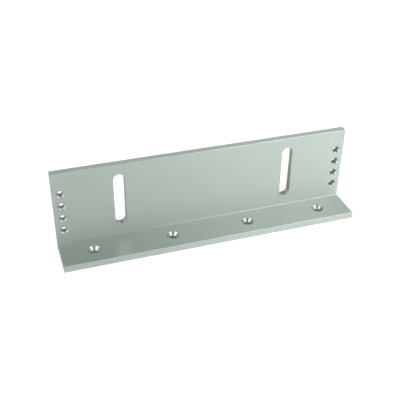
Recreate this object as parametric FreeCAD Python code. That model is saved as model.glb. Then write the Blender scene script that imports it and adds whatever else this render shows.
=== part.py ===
import FreeCAD, Part
import math
import os

# Mounting bracket for a magnetic door lock: one length of extruded aluminium angle,
# sawn to length, then slotted, drilled, countersunk and tapped.
# Frame: X along the bracket, Y from the foot's front edge to the upright's back face, Z up.
# The origin is the centre of the footprint, on the underside of the foot.

# The angle section, in millimetres
LENGTH = 266.7
UPRIGHT_HEIGHT = 76.2
FOOT_DEPTH = 38.1
THICKNESS = 6.35
ROOT_RADIUS = 0.5
EDGE_RADIUS = 0.4

# Two upright slots, which let the lock be set higher or lower
SLOT_SPACING = 154.0
SLOT_WIDTH = 10.0
SLOT_LENGTH = 50.0
SLOT_CENTRE_Z = 41.5

# Four countersunk screw holes down through the foot
FOOT_HOLE_PITCH = 70.0
FOOT_HOLE_COUNT = 4
FOOT_HOLE_RADIUS = 2.75
FOOT_SINK_RADIUS = 5.5

# A column of tapped M6 holes at each end of the upright, drilled to the thread's core
TAPPED_EDGE_DISTANCE = 7.0
TAPPED_PITCH = 12.0
TAPPED_COUNT = 4
TAPPED_CENTRE_Z = 38.5
TAPPED_CORE_RADIUS = 2.5
TAPPED_CHAMFER_RADIUS = 3.4

# Places that follow from the sizes above
BACK_Y = FOOT_DEPTH / 2
FRONT_Y = -FOOT_DEPTH / 2
UPRIGHT_FRONT_Y = BACK_Y - THICKNESS
FOOT_HOLE_Y = (FRONT_Y + UPRIGHT_FRONT_Y) / 2
TAPPED_X = LENGTH / 2 - TAPPED_EDGE_DISTANCE
OVERCUT = 1.0

X = FreeCAD.Vector(1, 0, 0)
Y = FreeCAD.Vector(0, 1, 0)
Z = FreeCAD.Vector(0, 0, 1)


def rounded_outline(corners):
    """A closed wire through corners given as (point, radius), each turned with an arc of its radius."""
    edges = []
    ends = []
    count = len(corners)
    for i, (corner, radius) in enumerate(corners):
        back = (corners[i - 1][0] - corner).normalize()
        ahead = (corners[(i + 1) % count][0] - corner).normalize()
        half_angle = back.getAngle(ahead) / 2
        reach = radius / math.tan(half_angle)
        start = corner + back * reach
        end = corner + ahead * reach
        bisector = (back + ahead).normalize()
        middle = corner + bisector * (radius / math.sin(half_angle) - radius)
        edges.append(Part.Arc(start, middle, end).toShape())
        ends.append((start, end))
    for i in range(count):
        leave = ends[i][1]
        arrive = ends[(i + 1) % count][0]
        if (arrive - leave).Length > 1e-6:
            edges.append(Part.makeLine(leave, arrive))
    return Part.Wire(Part.__sortEdges__(edges))


def angle_section():
    """The L outline in the YZ plane at the left end."""
    left = -LENGTH / 2

    def at(y, z):
        return FreeCAD.Vector(left, y, z)

    return rounded_outline([
        (at(BACK_Y, 0), EDGE_RADIUS),
        (at(BACK_Y, UPRIGHT_HEIGHT), EDGE_RADIUS),
        (at(UPRIGHT_FRONT_Y, UPRIGHT_HEIGHT), EDGE_RADIUS),
        (at(UPRIGHT_FRONT_Y, THICKNESS), ROOT_RADIUS),
        (at(FRONT_Y, THICKNESS), EDGE_RADIUS),
        (at(FRONT_Y, 0), EDGE_RADIUS),
    ])


def obround_prism(x, y, width, length, depth):
    """An upright round-ended slot's volume, from y towards +Y."""
    radius = width / 2
    straight = length - width
    low = SLOT_CENTRE_Z - straight / 2
    box = Part.makeBox(width, depth, straight, FreeCAD.Vector(x - radius, y, low))
    foot = Part.makeCylinder(radius, depth, FreeCAD.Vector(x, y, low), Y)
    head = Part.makeCylinder(radius, depth, FreeCAD.Vector(x, y, low + straight), Y)
    return box.fuse([foot, head]).removeSplitter()


def slot_cut(x):
    """A slot right through the upright."""
    depth = THICKNESS + 2 * OVERCUT
    return obround_prism(x, UPRIGHT_FRONT_Y - OVERCUT, SLOT_WIDTH, SLOT_LENGTH, depth)


def sink(radius, mouth_radius, mouth, inward):
    """A 90 degree cone from its mouth down to radius, run on a little above the face."""
    wide = mouth_radius + OVERCUT
    start = mouth - inward * OVERCUT
    return Part.makeCone(wide, radius, wide - radius, start, inward)


def tapped_cut(x, z):
    """A core hole through the upright with a lead-in chamfer on both faces."""
    front = FreeCAD.Vector(x, UPRIGHT_FRONT_Y, z)
    back = FreeCAD.Vector(x, BACK_Y, z)
    core = Part.makeCylinder(TAPPED_CORE_RADIUS, THICKNESS + 2 * OVERCUT, front - Y * OVERCUT, Y)
    front_chamfer = sink(TAPPED_CORE_RADIUS, TAPPED_CHAMFER_RADIUS, front, Y)
    back_chamfer = sink(TAPPED_CORE_RADIUS, TAPPED_CHAMFER_RADIUS, back, -Y)
    return core.fuse([front_chamfer, back_chamfer])


def foot_hole_cut(x):
    """A clearance hole down through the foot, countersunk from above."""
    top = FreeCAD.Vector(x, FOOT_HOLE_Y, THICKNESS)
    bore = Part.makeCylinder(FOOT_HOLE_RADIUS, THICKNESS + 2 * OVERCUT, top + Z * OVERCUT, -Z)
    return bore.fuse(sink(FOOT_HOLE_RADIUS, FOOT_SINK_RADIUS, top, -Z))


def centred_row(count, pitch):
    """Evenly spaced places either side of zero."""
    return [(i - (count - 1) / 2) * pitch for i in range(count)]


def angle_bracket():
    """The whole bracket: the extruded angle less every slot and hole."""
    angle = Part.Face(angle_section()).extrude(X * LENGTH)
    cuts = [slot_cut(x) for x in centred_row(2, SLOT_SPACING)]
    cuts += [foot_hole_cut(x) for x in centred_row(FOOT_HOLE_COUNT, FOOT_HOLE_PITCH)]
    for x in (-TAPPED_X, TAPPED_X):
        cuts += [tapped_cut(x, TAPPED_CENTRE_Z + z) for z in centred_row(TAPPED_COUNT, TAPPED_PITCH)]
    return angle.cut(cuts)


os.makedirs("parts", exist_ok=True)
angle_bracket().exportStep("parts/angle_bracket.step")
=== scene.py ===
import math

import bmesh
import bpy
from mathutils import Matrix, Vector

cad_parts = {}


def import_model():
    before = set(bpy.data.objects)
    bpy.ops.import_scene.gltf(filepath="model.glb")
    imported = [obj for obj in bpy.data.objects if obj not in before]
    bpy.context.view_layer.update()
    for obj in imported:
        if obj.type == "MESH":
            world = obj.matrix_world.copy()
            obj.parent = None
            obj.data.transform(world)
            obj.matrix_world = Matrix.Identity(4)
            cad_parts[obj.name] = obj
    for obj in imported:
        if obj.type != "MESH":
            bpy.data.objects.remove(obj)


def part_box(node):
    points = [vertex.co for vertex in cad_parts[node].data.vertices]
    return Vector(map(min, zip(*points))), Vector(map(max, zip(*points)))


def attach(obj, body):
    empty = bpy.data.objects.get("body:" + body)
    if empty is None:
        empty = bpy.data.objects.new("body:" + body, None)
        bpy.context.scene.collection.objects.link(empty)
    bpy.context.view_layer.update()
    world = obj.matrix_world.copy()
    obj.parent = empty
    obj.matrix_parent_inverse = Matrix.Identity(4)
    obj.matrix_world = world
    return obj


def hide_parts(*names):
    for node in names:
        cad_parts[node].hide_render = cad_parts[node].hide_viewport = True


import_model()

# The bracket's sizes in metres. The overall box comes from the CAD node.
MM = 0.001
LOW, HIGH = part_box("angle_bracket")
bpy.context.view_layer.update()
HALF_LENGTH = HIGH.x
UPRIGHT_HEIGHT = HIGH.z
BACK_Y = HIGH.y
FRONT_Y = LOW.y
THICKNESS = 6.35 * MM
UPRIGHT_FRONT_Y = BACK_Y - THICKNESS
ROOT_RADIUS = 0.5 * MM
EDGE_RADIUS = 0.4 * MM
SAWN_EDGE_BREAK = 0.2 * MM

SLOT_X = 77.0 * MM
SLOT_WIDTH = 10.0 * MM
SLOT_LENGTH = 50.0 * MM
SLOT_CENTRE_Z = 41.5 * MM
SLOT_EDGE_BREAK = 0.2 * MM

FOOT_HOLE_X = [x * MM for x in (-105.0, -35.0, 35.0, 105.0)]
FOOT_HOLE_Y = (FRONT_Y + UPRIGHT_FRONT_Y) / 2
FOOT_HOLE_RADIUS = 2.75 * MM
FOOT_SINK_RADIUS = 5.5 * MM
FOOT_SINK_DEPTH = FOOT_SINK_RADIUS - FOOT_HOLE_RADIUS
FOOT_HOLE_BREAK = 0.15 * MM

TAPPED_X = HALF_LENGTH - 7.0 * MM
TAPPED_Z = [z * MM for z in (20.5, 32.5, 44.5, 56.5)]
TAPPED_CORE_RADIUS = 2.5 * MM
TAPPED_CHAMFER_RADIUS = 3.4 * MM
TAPPED_CHAMFER_DEPTH = TAPPED_CHAMFER_RADIUS - TAPPED_CORE_RADIUS

# The M6 tap's ridge as (distance along, radius) points, with its foot sunk a little into the core
THREAD_PITCH = 1.0 * MM
THREAD_ROOT_RADIUS = 3.0 * MM
THREAD_FOOT_RADIUS = TAPPED_CORE_RADIUS - 0.01 * MM
THREAD_RIDGE = [
    (0.0, THREAD_FOOT_RADIUS),
    (0.25 * THREAD_PITCH, THREAD_FOOT_RADIUS),
    (0.56 * THREAD_PITCH, THREAD_ROOT_RADIUS),
    (0.69 * THREAD_PITCH, THREAD_ROOT_RADIUS),
]

# How the mesh is made.
# ARC_STEPS and MOUTH_STEPS go to a quarter turn, HOLE_STEPS and THREAD_STEPS to a whole turn.
ARC_STEPS = 6
MOUTH_STEPS = 3
HOLE_STEPS = 64
THREAD_STEPS = 48
OVERCUT = 1.0 * MM
WELD_DISTANCE = 0.002 * MM
SHARP_DEGREES = 32

# How its faces are told apart
HOLE_MARGIN = 0.5 * MM
FLAT_TOLERANCE = 0.001 * MM
LEAN_OF_45_DEGREES = math.sqrt(0.5)
LEAN_TOLERANCE = 0.02

# The metal's colours
ANODISED = (0.420, 0.475, 0.435, 1.0)
# The slot colour is darker than the anodised faces: painted shade on the slot walls.
MILLED_PAINTED_SHADE = (0.360, 0.400, 0.370, 1.0)
SAWN = (0.270, 0.300, 0.275, 1.0)
# The bore colour is darker than the anodised faces: painted shade inside the foot's holes.
BORED_PAINTED_SHADE = (0.300, 0.345, 0.310, 1.0)
# The thread colour is darkened well below the anodised colour: painted shade deep in the tapped holes.
THREADED_PAINTED_SHADE = (0.185, 0.218, 0.197, 1.0)
LINED_ANISOTROPY = 0.8
SAW_CENTRE = (0.0, 0.16, -0.10)

# The floor glows more from GLOW_START to GLOW_END, in metres out, until it is as bright as the backdrop.
# The backdrop's edges are elevations in degrees.
PAPER = (0.86, 0.86, 0.86, 1.0)
PAPER_ROUGHNESS = 0.9
WHITE = (1.0, 1.0, 1.0, 1.0)
FLOOR_REACH = 4.0
FLOOR_GLOW = 0.32
GLOW_START = 0.35
GLOW_END = 1.1
BACKDROP_GLOW = 1.0
BACKDROP_FADE_START = 17.0
BACKDROP_TOP = 32.0

# Name, azimuth and elevation in degrees as seen from the bracket, and power in watts
SOFTBOXES = [
    ("high_right", 60, 60, 8.5),
    ("high_left", 270, 60, 6.5),
    ("front_right", 30, 36, 5.0),
    ("right", 60, 36, 4.0),
    ("back", 180, 36, 6.0),
    ("left", 270, 36, 6.0),
    ("front_left", 300, 36, 6.5),
    ("low_front_left", 330, 12, 12.5),
    ("low_front_right", 30, 12, 7.5),
]
SOFTBOX_SIZE = 0.8
SOFTBOX_DISTANCE = 1.8
SOFTBOX_AIM = Vector((0.0, 0.0, 0.03))

CAMERA_AZIMUTH = -18.956
CAMERA_ELEVATION = 33.297
CAMERA_ROLL = 0.837
CAMERA_PLACE = Vector((-0.17125, -0.47078, 0.36286))
CAMERA_LENS = 61.80
CAMERA_SENSOR = 36.0
CAMERA_NEAR = 0.01


def arc(centre, radius, start, end, steps):
    """Points on an arc in a plane, angles in degrees."""
    points = []
    for i in range(steps + 1):
        a = math.radians(start + (end - start) * i / steps)
        points.append((centre[0] + radius * math.cos(a), centre[1] + radius * math.sin(a)))
    return points


def angle_section(inset):
    """The L section as (y, z) points, drawn in by inset all round."""
    edge = EDGE_RADIUS
    root = ROOT_RADIUS + inset
    low, back, front = inset, BACK_Y - inset, FRONT_Y + inset
    top = UPRIGHT_HEIGHT - inset
    face, floor_top = UPRIGHT_FRONT_Y + inset, THICKNESS - inset
    points = arc((back - edge, low + edge), edge, -90, 0, ARC_STEPS)
    points += arc((back - edge, top - edge), edge, 0, 90, ARC_STEPS)
    points += arc((face + edge, top - edge), edge, 90, 180, ARC_STEPS)
    points += arc((face - root, floor_top + root), root, 0, -90, ARC_STEPS)
    points += arc((front + edge, floor_top - edge), edge, 90, 180, ARC_STEPS)
    points += arc((front + edge, low + edge), edge, 180, 270, ARC_STEPS)
    return points


def loft(bm, loops):
    """Skins a row of equal loops of points and closes both ends."""
    rings = [[bm.verts.new(p) for p in loop] for loop in loops]
    count = len(loops[0])
    for a, b in zip(rings, rings[1:]):
        for i in range(count):
            j = (i + 1) % count
            bm.faces.new((a[i], a[j], b[j], b[i]))
    bm.faces.new(rings[0][::-1])
    bm.faces.new(rings[-1])


def lathe(bm, place, stations):
    """A turned solid: stations are (distance along, radius), place maps (u, v, along) to space."""
    loops = []
    for along, radius in stations:
        circle = arc((0, 0), radius, 0, 360, HOLE_STEPS)[:-1]
        loops.append([place(u, v, along) for u, v in circle])
    loft(bm, loops)


def new_object(name, build):
    """A mesh object filled in by build(bm), with its faces turned outwards."""
    bm = bmesh.new()
    build(bm)
    bmesh.ops.recalc_face_normals(bm, faces=bm.faces)
    mesh = bpy.data.meshes.new(name)
    bm.to_mesh(mesh)
    bm.free()
    thing = bpy.data.objects.new(name, mesh)
    bpy.context.scene.collection.objects.link(thing)
    return thing


def extruded_angle():
    """The sawn length of angle, with its end edges just broken."""
    def build(bm):
        stations = [
            (-HALF_LENGTH, SAWN_EDGE_BREAK),
            (-HALF_LENGTH + SAWN_EDGE_BREAK, 0),
            (HALF_LENGTH - SAWN_EDGE_BREAK, 0),
            (HALF_LENGTH, SAWN_EDGE_BREAK),
        ]
        loft(bm, [[(x, y, z) for y, z in angle_section(inset)] for x, inset in stations])
    return new_object("angle_bracket_finished", build)


def obround(x, y, grow):
    """A round-ended slot's outline in the plane at y, grown by grow."""
    radius = SLOT_WIDTH / 2 + grow
    reach = (SLOT_LENGTH - SLOT_WIDTH) / 2
    points = arc((x, SLOT_CENTRE_Z + reach), radius, 0, 180, HOLE_STEPS // 2)
    points += arc((x, SLOT_CENTRE_Z - reach), radius, 180, 360, HOLE_STEPS // 2)
    return [(px, y, pz) for px, pz in points]


def rounded_mouth(face, inward_sign):
    """(place, growth) pairs that round a slot's edge over as it nears a face."""
    pairs = []
    for i in range(MOUTH_STEPS + 1):
        a = math.radians(90 * i / MOUTH_STEPS)
        inward = SLOT_EDGE_BREAK * (1 - math.sin(a))
        grow = SLOT_EDGE_BREAK * (1 - math.cos(a))
        pairs.append((face + inward_sign * inward, grow))
    return pairs


def slot_cutter(x):
    """The volume milled away for a slot, with rounded-over edges."""
    def build(bm):
        stations = [(UPRIGHT_FRONT_Y - OVERCUT, SLOT_EDGE_BREAK)]
        stations += rounded_mouth(UPRIGHT_FRONT_Y, 1)[::-1]
        stations += rounded_mouth(BACK_Y, -1)
        stations += [(BACK_Y + OVERCUT, SLOT_EDGE_BREAK)]
        loft(bm, [obround(x, y, grow) for y, grow in stations])
    return new_object("slot_cutter", build)


def foot_hole_cutter(x):
    """A clearance hole with a 90 degree countersink from above and broken edges."""
    def place(u, v, z):
        return (x + u, FOOT_HOLE_Y + v, z)

    def build(bm):
        lip = FOOT_HOLE_BREAK
        stations = [
            (-OVERCUT, FOOT_HOLE_RADIUS + lip),
            (0, FOOT_HOLE_RADIUS + lip),
            (lip, FOOT_HOLE_RADIUS),
            (THICKNESS - FOOT_SINK_DEPTH, FOOT_HOLE_RADIUS),
            (THICKNESS - lip / 2, FOOT_SINK_RADIUS - lip / 2),
            (THICKNESS, FOOT_SINK_RADIUS + lip / 2),
            (THICKNESS + OVERCUT, FOOT_SINK_RADIUS + lip / 2),
        ]
        lathe(bm, place, stations)
    return new_object("foot_hole_cutter", build)


def chamfer_cutter(x, z):
    """A tapped hole's core, with its lead-in chamfers on both faces."""
    def place(u, v, y):
        return (x + u, y, z + v)

    def build(bm):
        stations = [
            (UPRIGHT_FRONT_Y - OVERCUT, TAPPED_CHAMFER_RADIUS),
            (UPRIGHT_FRONT_Y, TAPPED_CHAMFER_RADIUS),
            (UPRIGHT_FRONT_Y + TAPPED_CHAMFER_DEPTH, TAPPED_CORE_RADIUS),
            (BACK_Y - TAPPED_CHAMFER_DEPTH, TAPPED_CORE_RADIUS),
            (BACK_Y, TAPPED_CHAMFER_RADIUS),
            (BACK_Y + OVERCUT, TAPPED_CHAMFER_RADIUS),
        ]
        lathe(bm, place, stations)
    return new_object("chamfer_cutter", build)


def thread_cutter(x, z):
    """An M6 tap's shape: one helical ridge wound on the core, running out past both faces."""
    turns = math.ceil((THICKNESS + 2 * OVERCUT) / THREAD_PITCH)
    last = turns * THREAD_STEPS
    start = UPRIGHT_FRONT_Y - OVERCUT - THREAD_PITCH / 2

    def build(bm):
        def corner(i, along, radius):
            a = 2 * math.pi * i / THREAD_STEPS
            y = start + THREAD_PITCH * i / THREAD_STEPS + along
            return bm.verts.new((x + radius * math.cos(a), y, z + radius * math.sin(a)))

        rows = [[corner(i, *point) for point in THREAD_RIDGE] for i in range(last + 1)]
        # One more turn of the ridge's first corner, for the last full turn to close on
        rows += [[corner(i, *THREAD_RIDGE[0])] for i in range(last + 1, last + THREAD_STEPS + 1)]
        for i in range(last):
            here, there = rows[i], rows[i + 1]
            here_next = here[1:] + [rows[i + THREAD_STEPS][0]]
            there_next = there[1:] + [rows[i + 1 + THREAD_STEPS][0]]
            for a, b, c, d in zip(here, here_next, there_next, there):
                bm.faces.new((a, b, c, d))
        first_turn = [rows[i][0] for i in range(THREAD_STEPS + 1)]
        final_turn = [rows[last + i][0] for i in range(THREAD_STEPS + 1)]
        close_to_tip(bm, first_turn + rows[0][:0:-1], (x, start - THREAD_PITCH, z))
        close_to_tip(bm, final_turn + rows[last][:0:-1], (x, start + (turns + 2) * THREAD_PITCH, z))
    return new_object("thread_cutter", build)


def close_to_tip(bm, loop, place):
    """Closes a loop of corners with a fan to one point."""
    tip = bm.verts.new(place)
    for i in range(len(loop)):
        bm.faces.new((loop[i], loop[(i + 1) % len(loop)], tip))


def cut(body, cutter):
    """Takes the cutter away from the body and deletes it."""
    modifier = body.modifiers.new("cut", "BOOLEAN")
    modifier.operation = "DIFFERENCE"
    modifier.solver = "MANIFOLD"
    modifier.object = cutter
    bpy.context.view_layer.update()
    evaluated = body.evaluated_get(bpy.context.evaluated_depsgraph_get())
    finished = bpy.data.meshes.new_from_object(evaluated)
    body.modifiers.clear()
    body.data = finished
    bpy.data.objects.remove(cutter)


def weld(body):
    """Merges the doubled corners that the cuts leave where two of them meet."""
    bm = bmesh.new()
    bm.from_mesh(body.data)
    bmesh.ops.remove_doubles(bm, verts=bm.verts, dist=WELD_DISTANCE)
    bm.to_mesh(body.data)
    bm.free()


def finished_bracket():
    """The length of angle with every slot and hole cut into it."""
    body = extruded_angle()
    cutters = [slot_cutter(x) for x in (-SLOT_X, SLOT_X)]
    cutters += [foot_hole_cutter(x) for x in FOOT_HOLE_X]
    for x in (-TAPPED_X, TAPPED_X):
        for z in TAPPED_Z:
            cutters.append(chamfer_cutter(x, z))
            cutters.append(thread_cutter(x, z))
    for cutter in cutters:
        cut(body, cutter)
    weld(body)
    return body


def smooth_with_crisp_faces(body):
    """Smooth shading that leaves the flat faces flat and the sharp edges sharp."""
    for polygon in body.data.polygons:
        polygon.use_smooth = True
    body.data.set_sharp_from_angle(angle=math.radians(SHARP_DEGREES))
    weighted = body.modifiers.new("weighted_normals", "WEIGHTED_NORMAL")
    weighted.keep_sharp = True
    weighted.weight = 100


class Nodes:
    """Short calls for building a node material."""

    def __init__(self, name):
        self.material = bpy.data.materials.new(name)
        self.material.use_nodes = True
        self.tree = self.material.node_tree
        self.tree.nodes.clear()
        self.position = self.add("ShaderNodeTexCoord").outputs["Object"]

    def add(self, kind, **settings):
        """A new node with its settings."""
        node = self.tree.nodes.new(kind)
        for key, value in settings.items():
            setattr(node, key, value)
        return node

    def feed(self, socket, source):
        """Links a socket to the source, or sets it to a plain value."""
        if isinstance(source, bpy.types.NodeSocket):
            self.tree.links.new(source, socket)
        else:
            socket.default_value = source

    def vector_math(self, operation, a, b):
        """One vector worked out from two."""
        node = self.add("ShaderNodeVectorMath", operation=operation)
        self.feed(node.inputs[0], a)
        self.feed(node.inputs[1], b)
        return node.outputs[0]

    def length(self, vector):
        """How long a vector is."""
        node = self.add("ShaderNodeVectorMath", operation="LENGTH")
        self.feed(node.inputs[0], vector)
        return node.outputs["Value"]

    def noise(self, repeats, detail=2.0):
        """Noise that repeats so many times a metre along X, Y and Z."""
        node = self.add("ShaderNodeTexNoise")
        self.feed(node.inputs["Vector"], self.vector_math("MULTIPLY", self.position, repeats))
        self.feed(node.inputs["Scale"], 1.0)
        self.feed(node.inputs["Detail"], detail)
        return node.outputs[0]

    def rings(self, centre, axes, repeats):
        """Rings about a centre, repeats of them to the metre; axes picks the plane."""
        offset = self.vector_math("SUBTRACT", self.position, centre)
        distance = self.length(self.vector_math("MULTIPLY", offset, axes))
        node = self.add("ShaderNodeTexNoise", noise_dimensions="1D")
        self.feed(node.inputs["W"], distance)
        self.feed(node.inputs["Scale"], repeats)
        return node.outputs[0]

    def blend(self, value, low, high, start=0.0, end=1.0):
        """Runs from low to high as value goes from start to end."""
        node = self.add("ShaderNodeMapRange", interpolation_type="SMOOTHSTEP")
        self.feed(node.inputs["Value"], value)
        self.feed(node.inputs["From Min"], start)
        self.feed(node.inputs["From Max"], end)
        self.feed(node.inputs["To Min"], low)
        self.feed(node.inputs["To Max"], high)
        return node.outputs[0]

    def plus(self, a, b):
        """Two values added."""
        node = self.add("ShaderNodeMath", operation="ADD")
        self.feed(node.inputs[0], a)
        self.feed(node.inputs[1], b)
        return node.outputs[0]

    def tinted(self, colour, value, amount):
        """The colour, from darker to lighter by amount as value runs over 0..1."""
        node = self.add("ShaderNodeMix", data_type="RGBA")
        self.feed(node.inputs[0], value)
        self.feed(node.inputs[6], [c * (1 - amount) for c in colour[:3]] + [1.0])
        self.feed(node.inputs[7], [c * (1 + amount) for c in colour[:3]] + [1.0])
        return node.outputs[2]

    def bump(self, height, distance, strength, under=None):
        """A normal raised by height over distance, on top of the normal under it."""
        node = self.add("ShaderNodeBump")
        self.feed(node.inputs["Height"], height)
        self.feed(node.inputs["Distance"], distance)
        self.feed(node.inputs["Strength"], strength)
        if under is not None:
            self.feed(node.inputs["Normal"], under)
        return node.outputs[0]

    def tangent_round_x(self):
        """The direction that circles the bracket's long axis."""
        return self.add("ShaderNodeTangent", direction_type="RADIAL", axis="X").outputs[0]

    def tangent_along_y(self):
        """The direction straight through the upright."""
        node = self.add("ShaderNodeCombineXYZ")
        self.feed(node.inputs["Y"], 1.0)
        return node.outputs[0]

    def finish_with(self, shader):
        """Puts the shader on the surface and hands back the material."""
        output = self.add("ShaderNodeOutputMaterial")
        self.feed(output.inputs["Surface"], shader.outputs[0])
        return self.material

    def metal(self, colour, roughness, normal, tangent=None):
        """Bare metal. A tangent makes it rougher that way than across, as fine parallel lines do."""
        shader = self.add("ShaderNodeBsdfPrincipled")
        self.feed(shader.inputs["Base Color"], colour)
        self.feed(shader.inputs["Metallic"], 1.0)
        self.feed(shader.inputs["Roughness"], roughness)
        self.feed(shader.inputs["Normal"], normal)
        if tangent is not None:
            self.feed(shader.inputs["Anisotropic"], LINED_ANISOTROPY)
            self.feed(shader.inputs["Tangent"], tangent)
        return self.finish_with(shader)


def extruded_satin():
    """Etched and anodised extrusion: faint die lines along X under a fine satin grain."""
    n = Nodes("extruded_satin")
    lines = n.noise((2.0, 900.0, 900.0), detail=4.0)
    grain = n.noise((1600.0, 1600.0, 1600.0))
    clouds = n.noise((14.0, 60.0, 60.0), detail=3.0)
    normal = n.bump(lines, distance=0.006 * MM, strength=0.5)
    normal = n.bump(grain, distance=0.006 * MM, strength=0.5, under=normal)
    roughness = n.plus(n.blend(clouds, 0.59, 0.65), n.blend(lines, 0.0, 0.06))
    colour = n.tinted(ANODISED, clouds, 0.04)
    return n.metal(colour, roughness, normal, n.tangent_round_x())


def polished_arris():
    """The rounded corners of the section, rubbed a little brighter by the die and by handling."""
    n = Nodes("polished_arris")
    lines = n.noise((8.0, 900.0, 900.0))
    rubbing = n.noise((40.0, 200.0, 200.0))
    normal = n.bump(lines, distance=0.004 * MM, strength=0.4)
    return n.metal(ANODISED, n.blend(rubbing, 0.30, 0.44), normal)


def sawn_end():
    """Saw-blade arcs: rings about a far centre, under the anodising's grain."""
    n = Nodes("sawn_end")
    rings = n.rings(SAW_CENTRE, (0.0, 1.0, 1.0), 1800.0)
    grain = n.noise((1600.0, 1600.0, 1600.0))
    normal = n.bump(rings, distance=0.010 * MM, strength=0.6)
    normal = n.bump(grain, distance=0.006 * MM, strength=0.5, under=normal)
    return n.metal(n.tinted(SAWN, rings, 0.10), n.blend(rings, 0.60, 0.76), normal)


def milled_slot():
    """End-mill chatter straight through the wall, over the feed's finer drag round it, in a colour
    darkened as painted shade.
    """
    n = Nodes("milled_slot")
    chatter = n.noise((1500.0, 60.0, 1500.0))
    normal = n.bump(chatter, distance=0.010 * MM, strength=0.4)
    return n.metal(MILLED_PAINTED_SHADE, n.blend(chatter, 0.60, 0.72), normal, n.tangent_along_y())


def countersunk():
    """Fine tool marks in the countersinks and the lead-in chamfers."""
    n = Nodes("countersunk")
    marks = n.noise((300.0, 2200.0, 2200.0))
    normal = n.bump(marks, distance=0.006 * MM, strength=0.4)
    return n.metal(ANODISED, n.blend(marks, 0.30, 0.42), normal)


def hole_wall(name, colour):
    """The inside of a hole, darker than the open faces as painted shade, and uneven."""
    n = Nodes(name)
    marks = n.noise((900.0, 900.0, 900.0), detail=3.0)
    normal = n.bump(marks, distance=0.008 * MM, strength=0.5)
    return n.metal(n.tinted(colour, marks, 0.15), n.blend(marks, 0.42, 0.60), normal)


def bored():
    """The bores of the foot's holes, coloured darker as painted shade."""
    return hole_wall("bored", BORED_PAINTED_SHADE)


def threaded():
    """The tapped threads, coloured darkest of all as painted shade inside the holes."""
    return hole_wall("threaded", THREADED_PAINTED_SHADE)


def strictly_between(value, low, high):
    """Whether a value is inside a range and not on its ends."""
    return low + FLAT_TOLERANCE < value < high - FLAT_TOLERANCE


def on_any(value, planes):
    """Whether a value lies on one of the planes."""
    return any(abs(value - plane) < FLAT_TOLERANCE for plane in planes)


def in_slot(centre):
    """Whether a place within the upright's thickness belongs to a slot."""
    beside = abs(abs(centre.x) - SLOT_X) < SLOT_WIDTH / 2 + HOLE_MARGIN
    return beside and abs(centre.z - SLOT_CENTRE_Z) < SLOT_LENGTH / 2 + HOLE_MARGIN


def in_tapped_hole(centre):
    """Whether a place within the upright's thickness belongs to an end hole."""
    reach = TAPPED_CHAMFER_RADIUS + HOLE_MARGIN
    return any(math.hypot(abs(centre.x) - TAPPED_X, centre.z - z) < reach for z in TAPPED_Z)


def in_foot_hole(centre):
    """Whether a place within the foot's thickness belongs to a foot hole."""
    reach = FOOT_SINK_RADIUS + HOLE_MARGIN
    return any(math.hypot(centre.x - x, centre.y - FOOT_HOLE_Y) < reach for x in FOOT_HOLE_X)


def is_chamfer(face):
    """Whether a face of an end hole is part of a 45 degree lead-in."""
    depth = min(face.center.y - UPRIGHT_FRONT_Y, BACK_Y - face.center.y)
    lean = abs(face.normal.y)
    return depth < TAPPED_CHAMFER_DEPTH and abs(lean - LEAN_OF_45_DEGREES) < LEAN_TOLERANCE


def surface_kind(face):
    """Which finish a face of the bracket has, told from where it lies and how it leans."""
    centre = face.center
    if abs(centre.x) > HALF_LENGTH - SAWN_EDGE_BREAK:
        return sawn_end
    if strictly_between(centre.y, UPRIGHT_FRONT_Y, BACK_Y):
        if in_slot(centre):
            return milled_slot
        if in_tapped_hole(centre):
            return countersunk if is_chamfer(face) else threaded
    if strictly_between(centre.z, 0, THICKNESS) and in_foot_hole(centre):
        return countersunk if centre.z > THICKNESS - FOOT_SINK_DEPTH else bored
    if on_any(centre.y, (FRONT_Y, UPRIGHT_FRONT_Y, BACK_Y)):
        return extruded_satin
    if on_any(centre.z, (0, THICKNESS, UPRIGHT_HEIGHT)):
        return extruded_satin
    return polished_arris


def dress(body):
    """Gives every face the material of its finish."""
    kinds = [extruded_satin, polished_arris, sawn_end, milled_slot, countersunk, bored, threaded]
    body.data.materials.clear()
    for kind in kinds:
        body.data.materials.append(kind())
    for polygon in body.data.polygons:
        polygon.material_index = kinds.index(surface_kind(polygon))


def floor():
    """White studio paper under the bracket, glowing more with distance until it meets the backdrop."""
    corners = [(x, y, 0) for x, y in ((-1, -1), (1, -1), (1, 1), (-1, 1))]
    mesh = bpy.data.meshes.new("floor")
    mesh.from_pydata([(x * FLOOR_REACH, y * FLOOR_REACH, z) for x, y, z in corners], [], [(0, 1, 2, 3)])
    thing = bpy.data.objects.new("floor", mesh)
    bpy.context.scene.collection.objects.link(thing)
    n = Nodes("studio_paper")
    glow = n.blend(n.length(n.position), FLOOR_GLOW, BACKDROP_GLOW, GLOW_START, GLOW_END)
    shader = n.add("ShaderNodeBsdfPrincipled")
    n.feed(shader.inputs["Base Color"], PAPER)
    n.feed(shader.inputs["Roughness"], PAPER_ROUGHNESS)
    n.feed(shader.inputs["Emission Color"], WHITE)
    n.feed(shader.inputs["Emission Strength"], glow)
    mesh.materials.append(n.finish_with(shader))


def direction(azimuth_degrees, elevation_degrees):
    """The way out from the bracket; azimuth 0 is in front of it and 90 is on its right."""
    azimuth = math.radians(azimuth_degrees)
    elevation = math.radians(elevation_degrees)
    level = math.cos(elevation)
    return Vector((math.sin(azimuth) * level, -math.cos(azimuth) * level, math.sin(elevation)))


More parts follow.
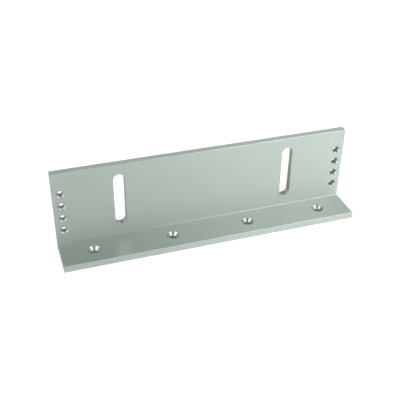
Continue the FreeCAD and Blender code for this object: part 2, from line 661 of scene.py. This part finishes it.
def softbox(name, azimuth_degrees, elevation_degrees, power):
    """A square softbox facing the bracket."""
    data = bpy.data.lights.new(name, "AREA")
    data.size = SOFTBOX_SIZE
    data.energy = power
    lamp = bpy.data.objects.new(name, data)
    lamp.location = direction(azimuth_degrees, elevation_degrees) * SOFTBOX_DISTANCE
    lamp.rotation_euler = (SOFTBOX_AIM - lamp.location).to_track_quat("-Z", "Y").to_euler()
    bpy.context.scene.collection.objects.link(lamp)


def world():
    """A white backdrop all round, which fades to darkness at its top edge."""
    sky = bpy.data.worlds.new("studio")
    bpy.context.scene.world = sky
    sky.use_nodes = True
    tree = sky.node_tree
    coordinates = tree.nodes.new("ShaderNodeTexCoord")
    split = tree.nodes.new("ShaderNodeSeparateXYZ")
    fade = tree.nodes.new("ShaderNodeMapRange")
    fade.interpolation_type = "SMOOTHSTEP"
    fade.inputs["From Min"].default_value = math.sin(math.radians(BACKDROP_FADE_START))
    fade.inputs["From Max"].default_value = math.sin(math.radians(BACKDROP_TOP))
    fade.inputs["To Min"].default_value = BACKDROP_GLOW
    fade.inputs["To Max"].default_value = 0.0
    background = tree.nodes["Background"]
    background.inputs["Color"].default_value = WHITE
    tree.links.new(coordinates.outputs["Generated"], split.inputs[0])
    tree.links.new(split.outputs["Z"], fade.inputs["Value"])
    tree.links.new(fade.outputs[0], background.inputs["Strength"])


def camera():
    """Looks down on the bracket from the front left."""
    ahead = -direction(CAMERA_AZIMUTH, CAMERA_ELEVATION)
    roll = math.radians(CAMERA_ROLL)
    level = ahead.cross(Vector((0, 0, 1))).normalized()
    above = level.cross(ahead)
    right = level * math.cos(roll) + above * math.sin(roll)
    up = above * math.cos(roll) - level * math.sin(roll)
    turn = Matrix((right, up, -ahead)).transposed()
    data = bpy.data.cameras.new("camera")
    data.lens = CAMERA_LENS
    data.sensor_width = CAMERA_SENSOR
    data.clip_start = CAMERA_NEAR
    thing = bpy.data.objects.new("camera", data)
    thing.matrix_world = Matrix.Translation(CAMERA_PLACE) @ turn.to_4x4()
    bpy.context.scene.collection.objects.link(thing)
    bpy.context.scene.camera = thing


bracket = finished_bracket()
smooth_with_crisp_faces(bracket)
dress(bracket)
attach(bracket, "root")
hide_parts("angle_bracket")

floor()
camera()
world()
for name, azimuth, elevation, watts in SOFTBOXES:
    softbox(name, azimuth, elevation, watts)

bpy.context.scene.view_settings.view_transform = "Standard"
